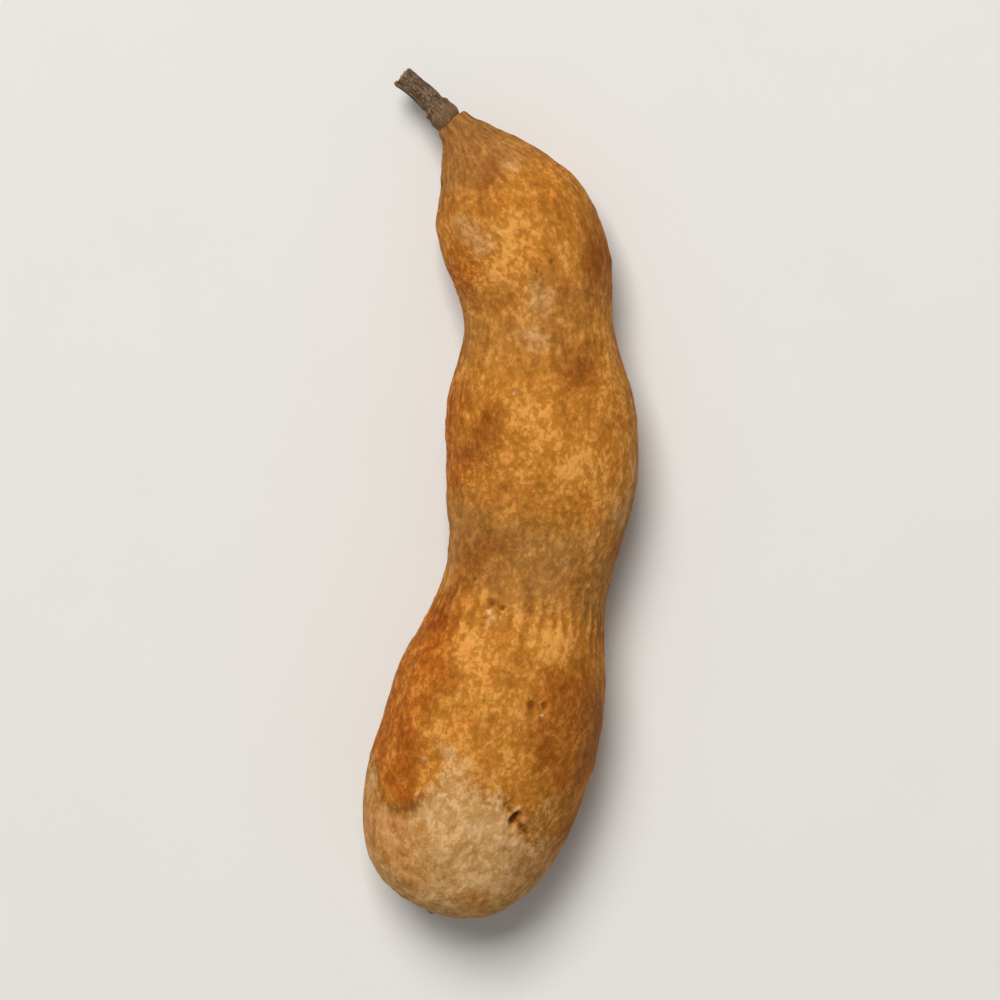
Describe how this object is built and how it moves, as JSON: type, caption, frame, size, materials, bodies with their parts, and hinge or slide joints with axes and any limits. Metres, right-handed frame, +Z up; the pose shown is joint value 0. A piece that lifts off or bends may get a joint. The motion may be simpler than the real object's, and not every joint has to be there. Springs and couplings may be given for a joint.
{
  "type": "tamarind pod",
  "caption": "Ripe tamarind pod lying on its side: a bent, plump brown shell swollen over its seeds, narrowed to a neck with a short woody stub of stalk.",
  "frame": {"origin": "the point under the middle of the object's box, on the surface that the pod lies on", "axes": "+Y from the blunt end towards the stalk, the longest extent; +Z up, the shortest extent; +X towards the outside of the bend"},
  "size_m": [0.0304, 0.0924, 0.0191],
  "materials": {
    "pod_skin": "matte, finely scurfy, cinnamon brown, dusty and worn paler on the blunt end",
    "stalk_wood": "dry fibrous wood, dull dark brown, with a paler broken end"
  },
  "bodies": {
    "root": {"pod": "pod_skin", "stalk": "stalk_wood"}
  },
  "joints": []
}
